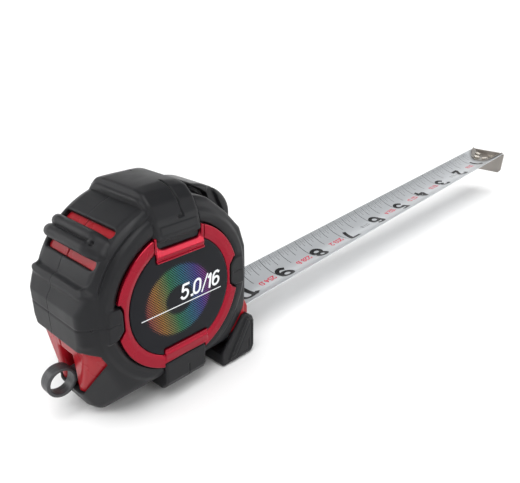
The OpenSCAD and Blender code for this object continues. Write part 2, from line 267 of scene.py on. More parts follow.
def grain(mt, scale, strength, rough_low=None, rough_high=None, color2=None, dist=0.02 * MM, big=0.0):
    """Fine grain in the bump, and a slight change of finish over the part."""
    t = mt.node_tree
    b = t.nodes["Principled BSDF"]
    co = t.nodes.new("ShaderNodeTexCoord")
    n1 = t.nodes.new("ShaderNodeTexNoise")
    n1.inputs["Scale"].default_value = scale
    n1.inputs["Detail"].default_value = 3
    t.links.new(co.outputs["Object"], n1.inputs["Vector"])
    bp = t.nodes.new("ShaderNodeBump")
    bp.inputs["Strength"].default_value = strength
    bp.inputs["Distance"].default_value = dist
    t.links.new(n1.outputs["Fac"], bp.inputs["Height"])
    t.links.new(bp.outputs["Normal"], b.inputs["Normal"])
    if rough_low is not None:
        n2 = t.nodes.new("ShaderNodeTexNoise")
        n2.inputs["Scale"].default_value = 90
        n2.inputs["Detail"].default_value = 4
        t.links.new(co.outputs["Object"], n2.inputs["Vector"])
        mr = t.nodes.new("ShaderNodeMapRange")
        mr.inputs["From Min"].default_value = 0.3
        mr.inputs["From Max"].default_value = 0.7
        mr.inputs["To Min"].default_value = rough_low
        mr.inputs["To Max"].default_value = rough_high
        t.links.new(n2.outputs["Fac"], mr.inputs["Value"])
        t.links.new(mr.outputs["Result"], b.inputs["Roughness"])
        if color2 is not None:
            mx = t.nodes.new("ShaderNodeMix")
            mx.data_type = "RGBA"
            mx.inputs["A"].default_value = b.inputs["Base Color"].default_value[:]
            mx.inputs["B"].default_value = (*color2, 1)
            t.links.new(n2.outputs["Fac"], mx.inputs["Factor"])
            t.links.new(mx.outputs["Result"], b.inputs["Base Color"])
    return mt


RUBBER = grain(principled("rubber", (0.0068, 0.0070, 0.0083), 0.46, spec=0.25), 9000, 0.25, 0.41, 0.52, (0.0090, 0.0092, 0.0108))
RUBBER_SMOOTH = grain(principled("rubber_smooth", (0.0075, 0.0077, 0.0086), 0.36, spec=0.28), 9000, 0.12, 0.32, 0.40, (0.0095, 0.0097, 0.0107))
RED = grain(principled("red_plastic", (0.32, 0.005, 0.012), 0.28, spec=0.2, coat=0.12, coat_rough=0.09), 6000, 0.08, 0.25, 0.32, (0.32, 0.005, 0.0115))
RED_METAL = grain(principled("red_lacquer", (0.315, 0.003, 0.019), 0.28, 0.8, spec=0.3, coat=0.22, coat_rough=0.08), 12000, 0.12, 0.24, 0.32, (0.28, 0.0027, 0.017))
STEEL = grain(principled("steel", (0.40, 0.395, 0.385), 0.28, 1.0), 6000, 0.14, 0.22, 0.36, (0.35, 0.345, 0.335))
DARK_STEEL = grain(principled("dark_steel", (0.16, 0.16, 0.17), 0.35, 1.0), 6000, 0.08, 0.3, 0.4, (0.14, 0.14, 0.15))
HOOK = grain(principled("hook_steel", (0.26, 0.243, 0.226), 0.28, 0.85), 5000, 0.12, 0.25, 0.34, (0.40, 0.37, 0.34))
RIVET = grain(principled("rivet", (0.75, 0.70, 0.62), 0.2, 1.0), 4000, 0.05, 0.16, 0.26, (0.7, 0.66, 0.58))
BLADE = grain(principled("blade", (0.50, 0.52, 0.54), 0.33, 0.35, spec=0.45, coat=0.3, coat_rough=0.2), 5000, 0.06, 0.29, 0.37, (0.47, 0.49, 0.51))
INK = grain(principled("black_print", (0.008, 0.008, 0.009), 0.5, spec=0.12), 5000, 0.02, 0.38, 0.42, (0.015, 0.015, 0.016))
INK_SOFT = grain(principled("grey_print", (0.05, 0.053, 0.056), 0.45, spec=0.2), 5000, 0.02, 0.4, 0.44, (0.11, 0.115, 0.12))
INK_RED = grain(principled("red_print", (0.55, 0.02, 0.06), 0.45, spec=0.2), 5000, 0.02, 0.4, 0.44, (0.6, 0.03, 0.07))
WHITE_INK = grain(principled("white_print", (0.80, 0.82, 0.84), 0.35), 5000, 0.02, 0.33, 0.38, (0.78, 0.8, 0.82))
REEL = grain(principled("reel_plastic", (0.62, 0.62, 0.60), 0.45), 5000, 0.1, 0.4, 0.5, (0.6, 0.6, 0.58))
SPRING = grain(principled("spring_steel", (0.20, 0.22, 0.27), 0.3, 1.0), 5000, 0.1, 0.26, 0.36, (0.18, 0.2, 0.25))
EYE = grain(principled("eyelet_polymer", (0.034, 0.035, 0.038), 0.38), 7000, 0.15, 0.34, 0.42, (0.04, 0.041, 0.045))

SEAM = 2.4

# ---------------------------------------------------------------- case fields
OUT = arc(0, AX, 33, 64, 128, 18) + arc(0, AX, 32.7, 130, 157, 9) + [(-31.9, 47.7), (-34.9, 42.5), (-34.9, 29.9), (-33.8, 12.5), (-30.6, 4.6), (-24.5, 0)] + [(29, 0), (31, 5), (31.2, 22), (31.1, 45.5), (28.6, 53.2), (21.8, 60.9)]
GIRTH = [(-5.6, 0), (-12.2, 6), (-16.6, 10), (-19.6, 13.5), (-19.6, 61), (-14.4, 72), (14.4, 72), (19.6, 61), (19.6, 13.5), (16.6, 10), (12.2, 6), (5.6, 0)]
SHELL = arc(0, AX, 31.4, 52, 165, 26) + [(-32.5, 41.5), (-33, 29.5), (-32, 10.5), (-28.6, 5.4), (29, 5.4), (31, 8), (30.4, 44.5), (29.0, 49.5), (25.0, 56.0)]
CN = (-0.676, 0.676, -0.292)
CZ = (-0.207, 0.207, 0.956)


def corner(x, a, z, d):
    """Slanted cut beside the strap ring; negative inside the cut. a is |y|."""
    px, pa, pz = x + 28.5 - d, a - 13 + d, z - 15
    n = px * CN[0] + pa * CN[1] + pz * CN[2]
    t = px * CZ[0] + pa * CZ[1] + pz * CZ[2]
    return smax(-n, t - 17.6, 1.4)


SL = ((127.1, 2.15), (145.5, 2.3))  # slot centre angles and half widths in degrees
RIB_A = 136.2


def slots(x, a, z, ho, he):
    rho, th = polar(x, z)
    g = None
    for c, w in SL:
        u = (th - c) * 31.5 * math.pi / 180
        s = rbox2(u, a, 0, 0, w * 31.5 * math.pi / 180 + ho, 13.7 + he, 1.2)
        g = s if g is None else np.minimum(g, s)
    return smax(g, 29 - rho, 0.3)


def cavity(x, y, z):
    a = np.abs(y)
    rho, th = polar(x, z)
    c = np.maximum(rho - 27.6, a - 15.1)
    c = np.minimum(c, rbox3(x, y, z, (6, -12.5, 8.8), (41, 12.5, 21.5), 0.3))
    c = np.minimum(c, rbox3(x, y, z, (6, -12.5, 20), (28, 12.5, 31), 0.3))
    c = np.minimum(c, rbox3(x, y, z, (10, -6, 22), (29.6, 6, 60), 0.3))
    w = (th + 180) % 360 - 180
    sec = np.maximum(np.maximum((20 - w), (w - 74.5)) * rho * math.pi / 180, a - 9.1)
    return c, sec


def shell(x, y, z):
    a = np.abs(y)
    rho, th = polar(x, z)
    o = rpoly(x, z, SHELL, 1.0)
    g = rpoly(a, z, [(-20, 5), (10, 5), (15, 10), (17, 12.5), (17, 59), (12.6, 70.2), (-20, 70.2)], 0.8)
    rear = step01((th - 96) / 8) * step01((172 - th) / 6)
    w = table(rho, [24, 28.5, 29.6, 30.6, 31.4, 33], [17, 17, 16.2, 14.6, 12.6, 10], 0.35)
    f = smax(smax(o, g, 0.8), a - (w * rear + 17 * (1 - rear)), 0.7)
    f = smax(f, -corner(x, a, z, 0.8), 1.0)
    f = smax(f, (-(x + 33.2) * 0.62 + (a - 13.4) * 0.78), 1.4)
    # cheeks beside the blade
    ck = smax(rpoly(x, z, [(27, 12.4), (33.4, 12.8), (34.6, 15), (34.6, 18.2), (32.0, 23.6), (27, 24.4)], 0.9), np.abs(a - 13.6) - 1.15, 0.8)
    f = smin(f, ck, 0.4)
    c, sec = cavity(x, y, z)
    f = smax(f, -c, 0.25)
    f = smax(f, -sec, 0.25)
    # strap ring pocket, flared at its mouth
    yy = y - 0.0
    pk = np.maximum(np.abs(yy) - 3.2 - 0.9 * step01((-30.2 - x) / 2.5), rpoly(x, z, [(-44, 4), (-29.2, 4), (-27.2, 10), (-27.2, 19), (-29.6, 23.6), (-44, 26)], 0.4))
    f = smax(f, -pk, 1.1)
    return f


def shell_r(x, y, z):
    return smax(engrave(shell(x, y, z), SEAM - 0.24 - y, 1.1), y - SEAM + 0.01, 0.1)


def shell_l(x, y, z):
    return smax(engrave(shell(x, y, z), y - SEAM - 0.24, 1.1), SEAM + 0.01 - y, 0.1)


TAB1 = [(-27.4, 42.9), (-23.2, 42.9), (-22.5, 41.3), (-22.5, 35.2), (-24.8, 32.7), (-28.2, 32.2)]
TAB2 = [(27.4, 43.8), (23.4, 43.4), (21.7, 41.3), (21.7, 34.8), (23.5, 33), (28.2, 33)]


def grip(x, y, z):
    a = np.abs(y)
    rho, th = polar(x, z)
    o = rpoly(x, z, OUT, 1.6)
    # the panel's upper step and its soft ends
    patch_u = (th - 131.4) * 32 * math.pi / 180
    pd = rbox2(patch_u, a, 0, 0, 14.6, 14.4, 3.2)
    ridge = 1.15 * step01(pd / 1.3) * step01((5.4 - pd) / 2.6)
    rear = step01((th - 97) / 5) * step01((166 - th) / 4)
    o = o - ridge * rear
    # side faces: a band round the ring, then a valley, then the shoulder
    w_rear = table(rho, [24.4, 25.1, 26.4, 28.4, 29.3, 29.9, 30.35, 30.9, 31.8, 33.0, 35, 37], [17.4, 18.3, 18.75, 18.55, 18.0, 16.6, 16.5, 17.1, 16.1, 14.1, 12.4, 11], 0.16)
    w_else = table(rho, [24.4, 25.1, 26.6, 28.4, 29.2, 29.9, 31, 36, 40], [17.4, 18.3, 18.85, 18.7, 18.1, 17.5, 17.3, 16.6, 15.8], 0.2)
    rr = step01((th - 99) / 7) * step01((162 - th) / 5)
    w = w_rear * rr + w_else * (1 - rr)
    f = smax(o, a - w, 1.7)
    f = smax(f, rpoly(a, z, [(-30, -1), (-30, 80), (14.4, 72), (19.6, 61), (19.6, 13.5), (16.6, 10), (12.2, 6), (4.2, -1.2)], 1.5), 1.4)
    f = np.maximum(f, -z)
    # rear panel ends rounded in plan
    f = smax(f, (-(x + 34.9) * 0.62 + (a - 14.0) * 0.78) - 0.2, 1.6)
    # slots
    f = smax(f, -slots(x, a, z, 0.15, 0.1), 0.9)
    # slanted corner and the opening in it
    f = smax(f, -corner(x, a, z, 0), 1.3)
    op = np.maximum(rpoly(a, z, [(-20, 29.9), (13.6, 29.9), (16.5, 28.2), (16.7, 24.4), (7.2, 11.0), (-20, 11.0)], 0.5), x + 24.0)
    op = np.maximum(op, -(x + 46))
    f = smax(f, -op, 0.5)
    # room for the case, the ring and the straps
    f = smax(f, -np.maximum(rho - 25.15, 17.0 - a), 0.3)
    tabs = np.minimum(rpoly(x, z, TAB1, 0.5), rpoly(x, z, TAB2, 0.5))
    f = smin(f, smax(smax(tabs, a - 19.35, 0.5), 17.05 - a, 0.1), 0.7)
    # scored line round the panel and on to the tab
    line = np.where(x < 0, np.abs(z - 38.0) - 0.26, np.abs(z - 38.3) - 0.26)
    ln = np.maximum(line, np.where(x < 0, x + 23.4, 22.6 - x))
    ln = np.maximum(ln, np.where(x < 0, -40 - x, (18.0 - a) * 3))
    f = engrave(f, ln, 0.22)
    rm = smax(rpoly(x, z, SHELL, 1.0), a - 17.0, 0.5)
    rm = smax(rm, -corner(x, a, z, 0.8), 1.0)
    rm = np.maximum(rm, rpoly(a, z, [(-20, 5), (10, 5), (15, 10), (17, 12.5), (17, 59), (12.6, 70.2), (-20, 70.2)], 0.8))
    f = np.maximum(f, -(rm + 0.9))
    f = smax(f, -rbox3(x, y, z, (20, -14.9, 8.4), (44, 14.9, 24.6), 0.5), 0.5)
    c, sec = cavity(x, y, z)
    f = smax(f, -sec, 0.8)
    f = np.maximum(f, -np.minimum(rbox3(x, y, z, (-8.75, -25, 52), (8.75, 25, 84), 0.2), rbox3(x, y, z, (-8.75, -25, -4), (8.75, 25, 22), 0.2)))
    f = smax(f, -rpoly(x, z, [(17.6, -3), (42, -3), (42, 17.9), (28.4, 17.9), (17.6, 5.6)], 0.2), 0.3)
    f = smax(f, -(np.hypot(x - 13.3, z + 1.6) - 4.8), 0.5)
    return f


def grip_r(x, y, z):
    # a sunk lip carries on under the other half, so the joint stays a hairline
    f = grip(x, y, z)
    return np.minimum(smax(f, y - SEAM, 0.03), np.maximum(f + 0.05, y - SEAM - 0.45))


def grip_l(x, y, z):
    return smax(grip(x, y, z), SEAM - y, 0.03)


def seat(x, a, z):
    """What a strap lies on, the case and the ring seat."""
    rho, th = polar(x, z)
    s = np.maximum(np.maximum(rpoly(x, z, SHELL, 1.0), a - 17.02), rpoly(a, z, [(-20, 5), (10, 5), (15, 10), (17, 12.5), (17, 59), (12.6, 70.2), (-20, 70.2)], 0.8))
    return np.minimum(s, np.maximum(rho - 24.6, a - 17.8))


def top_strap(x, y, z):
    a = np.abs(y)
    rho, th = polar(x, z)
    g = rpoly(a, z, [(-20, 74.5), (0, 74.5), (8.5, 74.3), (12.6, 72.9), (16.0, 70.0), (18.5, 65.4), (19.65, 60.4), (19.65, 50), (-20, 50)], 5.0)
    g = smin(smax(g, 59.1 - z, 0.5), rbox2(a, z, 17.4, 58.4, 0.95, 1.8, 0.1), 0.1)
    crown = rho - 36.8
    # a lower flange along the rear edge that flows into the grip
    fl = smax(np.abs(x + 0.8) - 9.1, crown + 1.7, 0.8)
    mid = smax(np.abs(x) - 8.6, crown, 1.2)
    top = smin(smax(mid, g, 1.2), smax(fl, g + 1.2, 1.2), 1.2)
    f = smax(top, -seat(x, a, z), 0.2)
    # scored lines
    sc = np.maximum(np.abs(x - 2.2) - 0.36, 64.7 - z)
    sc = np.maximum(sc, 7.4 - a)
    ft = np.maximum(np.maximum(np.abs(z - 65.0) - 0.34, np.abs(x - 1.4) - 1.1), 10 - a)
    f = engrave(f, np.minimum(sc, ft), 0.5)
    # plain raised tablet at each end
    tb = rbox2(x, z, 0.2, 62.2, 7.2, 1.35, 0.4)
    tb = np.maximum(tb, 15 - a)
    f = smin(f, np.maximum(smax(f - 0.22, tb, 0.3), 14 - a), 0.15)
    return f


def bottom_strap(x, y, z):
    a = np.abs(y)
    g = rpoly(a, z, [(-20, 0), (12.3, 0), (18.7, 6.2), (19.6, 8.0), (19.6, 15.9), (16.4, 15.9), (16.4, 12), (-20, 12)], 1.0)
    o = rpoly(x, z, [(-8.65, 16.4), (-8.65, 4.4), (-4.6, 0), (6.8, 0), (8.65, 2.2), (8.65, 16.4)], 0.8)
    f = smax(g, o, 1.0)
    f = smax(f, -seat(x, a, z), 0.2)
    sc = np.maximum(np.abs(x - 0.9) - 0.26, np.maximum(z - 11.5, 11 - a))
    f = engrave(f, sc, 0.28)
    return f


TOE = [(17.7, 0), (33, 0), (34.5, 2.2), (34.5, 13.4), (33.6, 15.6), (31, 17.8), (28.5, 17.8), (17.7, 5.5)]
PAD = [(20.2, 1.2), (32.6, 1.2), (33.5, 2.6), (33.5, 12.9), (32.8, 14.9), (31.0, 16.3), (29.8, 16.3)]


def toe(x, y, z):
    a = np.abs(y)
    f = smax(rpoly(x, z, TOE, 1.1), a - 18.35, 0.8)
    # raised pad: a border, and lines along the slanted and the upright edge
    p = rpoly(x, z, PAD, 0.7)
    f = smin(f, smax(p, a - 18.95, 0.35), 0.25)
    t = (x - 20.2) * 0.845 - (z - 1.2) * 0.535
    ln = np.minimum(np.abs(t - 3.0) - 0.22, np.abs(p + 1.0) - 0.2)
    ln = np.minimum(ln, np.maximum(np.abs(x - 31.0) - 0.2, 6.0 - t))
    f = engrave(f, np.maximum(np.maximum(ln, p + 0.6), 18 - a), 0.24)
    f = engrave(f, np.maximum(np.maximum(3.3 - t, p + 1.3), 18 - a), 0.1)
    f = smax(f, -np.maximum(rpoly(x, z, SHELL, 1.0), a - 17.0), 0.2)
    f = smax(f, -rbox3(x, y, z, (20, -14.8, 5.45), (44, 14.8, 30), 0.4), 0.5)
    f = smax(f, -(np.hypot(x - 13.3, z + 1.6) - 4.8), 0.5)
    return f


def rib(x, y, z):
    rho, th = polar(x, z)
    a = np.abs(y - 0.1)
    u = (th - RIB_A) * 33.5 * math.pi / 180
    sink = 2.6 * step01((-y - 7.5) / 8.0) + 1.0 * step01((y - 11.0) / 5.0)
    f = None
    for uc, r, top, end in ((-1.95, 1.95, 35.35, 15.6), (2.0, 2.15, 35.75, 16.2)):
        c = top - sink - r
        g = np.sqrt((u - uc) ** 2 + np.maximum(rho - c, 0) ** 2 + np.maximum(a - end + r, 0) ** 2) - r
        if f is None:
            f = g
        else:
            k = 0.35 + 3.2 * step01((-y - 7.0) / 4.0)
            f = -(np.maximum(-f, -g) + k * 0.25 * np.maximum(1 - np.abs(f - g) / k, 0) ** 2)
    # a small dimple where the groove runs out
    f = smax(f, -(np.sqrt((u * 1.0) ** 2 + (y + 10.4) ** 2 + (rho - 35.2 + sink) ** 2) - 0.75), 0.5)
    return smax(f, 30.9 - rho, 0.3)


def ring(x, a, z):
    rho, th = polar(x, z)
    # faceted section: flat face with a bevel towards the badge
    out = smax(rho - 24.75, a - (19.35 - 0.55 * step01((22.2 - rho) / 2.4)), 0.45)
    out = smax(out, 20.25 - rho, 0.35)
    face = table(z, [51.8, 52.9, 53.15, 53.9, 54.5, 56.5, 57.4, 60.2], [19.78, 19.78, 19.2, 19.5, 19.62, 18.9, 18.5, 18.3], 0.12)
    bar = smax(smax(rbox2(x, z, 0.2, 56.1, 9.5, 3.75, 0.4), -rbox2(x, z, 0.2, 61.5, 8.55, 5.1, 2.3), 0.35), a - face, 0.3)
    face2 = table(z, [13.5, 15.8, 16.6, 19.4, 19.9, 20.9, 21.15, 22.5], [18.3, 18.7, 19.3, 19.7, 19.5, 19.25, 19.78, 19.78], 0.12)
    bar2 = smax(smax(rbox2(x, z, 0.6, 17.4, 9.1, 4.1, 0.4), -rbox2(x, z, 0.6, 11.3, 8.2, 4.7, 2.0), 0.35), a - face2, 0.3)
    f = out
    cut = np.minimum(rbox2(x, z, 0, 64, 8.75, 8, 0.2), rbox2(x, z, 0, 8, 8.75, 8, 0.2))
    f = smax(f, -cut, 0.3)
    f = smin(f, bar, 0.3)
    f = smin(f, bar2, 0.3)
    f = smax(f, -rpoly(x, z, [(-33, 43.9), (-23.0, 43.9), (-22.1, 42.0), (-22.1, 34.8), (-24.5, 31.7), (-33, 31.2)], 0.3), 0.35)
    f = smax(f, -rpoly(x, z, [(33, 44.7), (23.0, 44.4), (21.2, 41.9), (21.2, 34.3), (23.3, 32.0), (33, 32.0)], 0.3), 0.35)
    f = smax(f, 17.85 - a, 0.2)
    # fine grooves where the bars meet the ring
    gr = np.minimum(np.abs(x + 9.75) - 0.16, np.abs(x - 9.95) - 0.16)
    f = engrave(f, np.maximum(gr, 51.5 - z), 0.5)
    return f


def ring_r(x, y, z):
    return np.maximum(ring(x, -y, z), y)


def ring_l(x, y, z):
    return np.maximum(ring(x, y, z), -y)


LEV = [(14.8, 32.4), (19, 31.5), (23.5, 29.5), (27.6, 26.8), (30.4, 23.3), (31.7, 19.6), (31.7, 14.9), (30.0, 13.6)]


def spline(p, n=5):
    """The same points with a smooth curve through them."""
    p = [np.array(q, float) for q in p]
    out = []
    for i in range(len(p) - 1):
        a, b, c, d = p[max(i - 1, 0)], p[i], p[i + 1], p[min(i + 2, len(p) - 1)]
        for k in range(n):
            t = k / n
            q = 0.5 * (2 * b + (c - a) * t + (2 * a - 5 * b + 4 * c - d) * t * t + (3 * b - a - 3 * c + d) * t ** 3)
            out.append((q[0], q[1]))
    return out + [(p[-1][0], p[-1][1])]


LEV = spline(LEV[:7]) + LEV[7:]


def lever(x, y, z):
    a = np.abs(y)
    rho, th = polar(x, z)
    pts = [(p[0], p[1] + AX) for p in LEV] + arc(0, AX, 32.95, 24.5, 62.5, 12)
    f = rpoly(x, z, pts, 0.55)
    f = smax(f, a - 8.55, 1.8)
    f = smax(f, 32.92 - rho, 0.3)
    # an undercut along the side, a hollow in front of it
    def seg(p, q, r0, r1):
        dx, dz = q[0] - p[0], q[1] - p[1]
        t = np.clip(((x - p[0]) * dx + (z - p[1]) * dz) / (dx * dx + dz * dz), 0, 1)
        return np.hypot(x - p[0] - dx * t, z - p[1] - dz * t) - r0 - (r1 - r0) * t

    cut = seg((9.0, 71.9), (13.7, 69.5), 0.35, 0.45)
    for p, q, r0, r1 in (((13.7, 69.5), (17.0, 67.6), 0.45, 0.55), ((17.0, 67.6), (19.9, 65.2), 0.55, 0.8), ((19.9, 65.2), (21.7, 61.0), 0.8, 1.3)):
        cut = np.minimum(cut, seg(p, q, r0, r1))
    f = smax(f, -smax(cut, 5.6 - a, 0.4), 0.35)
    hol = seg((22.6, 66.2), (26.2, 57.0), 1.3, 2.0)
    f = smax(f, -smax(hol, 7.5 - a, 1.2), 0.9)
    # finger grooves across the crown
    g = None
    for k in range(5):
        t = math.radians(34 + 5.0 * k)
        gx, gz = 38.3 * math.cos(t), AX + 38.3 * math.sin(t)
        c = np.hypot(x - gx, z - gz) - 0.8
        g = c if g is None else np.minimum(g, c)
    f = smax(f, -np.maximum(g, a - 7.0), 0.5)
    return f


def eyelet(x, y, z):
    a = np.abs(y)
    r = np.hypot(x + 36.1, z - 14.6)
    t = smax(r - 5.15, a - 2.15, 0.35)
    arm = smax(rbox2(x, z, -31.0, 14.6, 3.2, 1.75, 1.6), a - 2.1, 0.3)
    f = smin(t, arm, 0.6)
    f = smax(f, 3.95 - r, 0.35)
    # moulding line round the rim
    f = engrave(f, np.maximum(a - 0.12, r - 99), 0.06)
    return smax(f, -(np.hypot(x + 29.2, z - 14.6) - 1.08), 0.1)


Q = 1.0
net("grip_right_skin", grip_r, (-36, -20.4, -0.6), (34, SEAM + 0.6, 74), 0.36 * Q, RUBBER)
net("grip_left_skin", grip_l, (-36, SEAM - 0.6, -0.6), (34, 20.4, 74), 0.40 * Q, RUBBER)
net("shell_right_skin", shell_r, (-34.2, -17.7, 4.4), (35.4, SEAM + 0.4, 71), 0.42 * Q, RED)
net("shell_left_skin", shell_l, (-34.2, SEAM - 0.4, 4.4), (35.4, 17.7, 71), 0.42 * Q, RED)
net("top_strap_skin", top_strap, (-11, -20.6, 55.8), (10, 20.6, 75.5), 0.27 * Q, RUBBER)
net("bottom_strap_skin", bottom_strap, (-9.4, -20.4, -0.6), (9.4, 20.4, 16.8), 0.3 * Q, RUBBER)
net("front_toe_skin", toe, (17, -19.8, -0.6), (35.3, 19.8, 18.6), 0.27 * Q, RUBBER)
net("rear_rib_skin", rib, (-32, -17.0, 48), (-16, 17.0, 70), 0.27 * Q, RUBBER)
net("face_ring_right_skin", ring_r, (-25.4, -20.3, 12), (25.4, -17.4, 63), 0.24 * Q, RED_METAL)
net("face_ring_left_skin", ring_l, (-25.4, 17.4, 12), (25.4, 20.3, 63), 0.3 * Q, RED_METAL)
net("lock_lever_skin", lever, (13.5, -9.4, 50), (33, 9.4, 71.2), 0.3 * Q, RUBBER_SMOOTH)
net("strap_eyelet_skin", eyelet, (-42, -2.9, 8.8), (-27, 2.9, 20.4), 0.2 * Q, EYE)
for nm, node, body in (("grip_right", 0, "case"), ("grip_left", 0, "case"), ("shell_right", 0, "case"), ("shell_left", 0, "case"), ("top_strap", 0, "case"), ("bottom_strap", 0, "case"),
                       ("front_toe", 0, "case"), ("rear_rib", 0, "case"), ("face_ring_right", 0, "case"), ("face_ring_left", 0, "case"), ("lock_lever", 0, "lever"), ("strap_eyelet", 0, "strap_ring")):
    o = bpy.data.objects[nm + "_skin"]
    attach(o, body)
    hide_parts(nm)

# ---------------------------------------------------------------- blade, with its print
T = math.radians(3.05)
HOOKP = Vector((296.2, 0, 29.9))
BX = Vector((math.cos(T), 0, math.sin(T)))
BZ = Vector((-math.sin(T), 0, math.cos(T)))
CH, SAG, TH = 11.2, 4.0, 0.4
CR = (CH ** 2 + SAG ** 2) / (2 * SAG)


def on_blade(s, w, lift=0.0):
    """A point of the blade's upper face: s along it from the hook, w the place across along the arc."""
    s, w = np.asarray(s, float), np.asarray(w, float)
    ang = w / CR
    rad = CR - TH - lift
    y = rad * np.sin(ang)
    z = -SAG + CR - rad * np.cos(ang)
    return np.stack([HOOKP.x + s * BX.x + z * BZ.x, y, HOOKP.z + s * BX.z + z * BZ.z], -1)


AW = CR * math.asin(CH / CR)
verts, faces, mats = [], [], []


def quads(P, nu, nv, m, flip=False):
    """P is (nu, nv, 3)."""
    b = sum(len(v) for v in verts)
    verts.append(P.reshape(-1, 3))
    i, j = np.meshgrid(np.arange(nu - 1), np.arange(nv - 1), indexing="ij")
    a = b + i * nv + j
    q = np.stack([a, a + nv, a + nv + 1, a + 1], -1).reshape(-1, 4)
    faces.append(q[:, ::-1] if flip else q)
    mats.append(np.full(len(q), m))


S0, S1 = -286.0, -0.05
ns, nw = 144, 41
ss, ww = np.linspace(S0, S1, ns), np.linspace(-AW + 0.12, AW - 0.12, nw)
S, W = np.meshgrid(ss, ww, indexing="ij")
topf, botf = on_blade(S, W, 0), on_blade(S, W, -TH)
quads(topf, ns, nw, 0)
quads(botf, ns, nw, 0, True)
# rolled edges and ends
for k in (0, -1):
    e = np.stack([topf[:, k], on_blade(ss, np.full(ns, ww[k] + (0.14 if k else -0.14)), -TH / 2), botf[:, k]], 1)
    quads(e, ns, 3, 0, flip=(k == -1))
    e = np.stack([topf[k], botf[k]], 1)
    quads(e, nw, 2, 0, flip=(k == 0))


def band(s0, s1, w0, w1, m, lift=0.03):
    nv = max(2, int(abs(w1 - w0) / 0.6) + 1)
    nu = max(2, int(abs(s1 - s0) / 6) + 1)
    S, W = np.meshgrid(np.linspace(s0, s1, nu), np.linspace(w0, w1, nv), indexing="ij")
    quads(on_blade(S, W, lift), nu, nv, m)


IN = 25.4
far = AW - 0.25
n32 = int(266 / (IN / 32))
for i in range(1, n32 + 1):
    s = -i * IN / 32
    if s < S0 + 2:
        break
    if s > -13.5:
        continue
    if i % 32 == 0:
        end, wd = -4.2, 0.34
    elif i % 16 == 0:
        end, wd = 2.0, 0.30
    elif i % 8 == 0:
        end, wd = 4.6, 0.26
    elif i % 4 == 0:
        end, wd = 6.7, 0.22
    elif i % 2 == 0:
        end, wd = 8.2, 0.18
    else:
        end, wd = 9.4, 0.14
    band(s - wd / 2, s + wd / 2, end, far, 1 if i % 8 == 0 else 2, 0.02)


# stroke figures on a 0..1 by 0..1.7 box
def A(cx, cy, rx, ry, a0, a1, n=14):
    return [(cx + rx * math.cos(math.radians(a0 + (a1 - a0) * k / n)), cy + ry * math.sin(math.radians(a0 + (a1 - a0) * k / n))) for k in range(n + 1)]


FIG = {
    "0": [A(0.5, 1.2, 0.5, 0.5, 0, 180) + A(0.5, 0.5, 0.5, 0.5, 180, 360) + [(1.0, 1.2)]],
    "1": [[(0.2, 1.35), (0.58, 1.7), (0.58, 0)]],
    "2": [A(0.5, 1.2, 0.48, 0.5, 170, -35, 12) + [(0.0, 0.0), (1.0, 0.0)]],
    "3": [A(0.46, 1.27, 0.46, 0.43, 160, -85, 12) + A(0.46, 0.44, 0.52, 0.44, 85, -160, 14)],
    "4": [[(0.78, 0), (0.78, 1.7), (0.0, 0.5), (1.05, 0.5)]],
    "5": [[(0.95, 1.7), (0.14, 1.7), (0.08, 0.95)] + A(0.46, 0.52, 0.52, 0.52, 130, -150, 16)],
    "6": [[(0.86, 1.55), (0.62, 1.70)] + A(0.5, 1.1, 0.5, 0.6, 100, 180, 8) + A(0.5, 0.5, 0.5, 0.5, 180, 540, 22)],
    "7": [[(0.0, 1.7), (1.0, 1.7), (0.36, 0.0)]],
    "8": [A(0.5, 1.27, 0.42, 0.43, -90, 270, 20), A(0.5, 0.43, 0.5, 0.43, 90, 450, 22)],
    "9": [[(0.14, 0.15), (0.38, 0.0)] + A(0.5, 0.6, 0.5, 0.6, -80, 0, 8) + A(0.5, 1.2, 0.5, 0.5, 0, 360, 22)],
    ".": [[(0.35, 0.0), (0.5, 0.0)]],
    "/": [[(0.1, -0.15), (0.9, 1.85)]],
}


def strokes(text, size, gap=1.35):
    """Polylines of the figures, in units where a figure is size high."""
    k, x, out = size / 1.7, 0.0, []
    for c in text:
        if c in FIG:
            out += [[((px + x) * k, py * k) for px, py in pl] for pl in FIG[c]]
        x += 0.75 if c == "." else (1.05 if c == "1" else gap)
    return out, (x - gap + 1.0) * k


def resample(pl, d):
    pl = np.array(pl, float)
    seg = np.linalg.norm(np.diff(pl, axis=0), axis=1)
    L = np.concatenate([[0], np.cumsum(seg)])
    t = np.unique(np.concatenate([np.arange(0, L[-1], d), L]))
    t = t[np.concatenate([[True], np.diff(t) > 1e-4])]
    return np.stack([np.interp(t, L, pl[:, k]) for k in (0, 1)], 1)


def ribbon(pl, width, place, m, d=0.5):
    p = resample(pl, d)
    t = np.gradient(p, axis=0)
    t /= np.maximum(np.linalg.norm(t, axis=1), 1e-9)[:, None]
    n = np.stack([-t[:, 1], t[:, 0]], 1)
    closed = np.linalg.norm(p[0] - p[-1]) < 1e-3
    if not closed:
        p = np.concatenate([[p[0] - t[0] * width * 0.42], p[1:-1] if len(p) > 2 else p[:0], [p[-1] + t[-1] * width * 0.42]])
        if len(p) != len(n):
            n = np.repeat(n[:1], len(p), 0)
    G = np.stack([p + n * width / 2, p, p - n * width / 2], 1)
    quads(place(G), len(p), 3, m, flip=True)


def digits(text, s_left, w_base, size, width, m, lift=0.03, wide=1.0):
    """The reader stands on the far side: a figure's right is -X and its top is -Y."""
    pls, wid = strokes(text, size)
    for pl in pls:
        ribbon(pl, width, lambda g: on_blade(s_left - g[..., 0] * wide, w_base - g[..., 1], lift), m)
    return wid


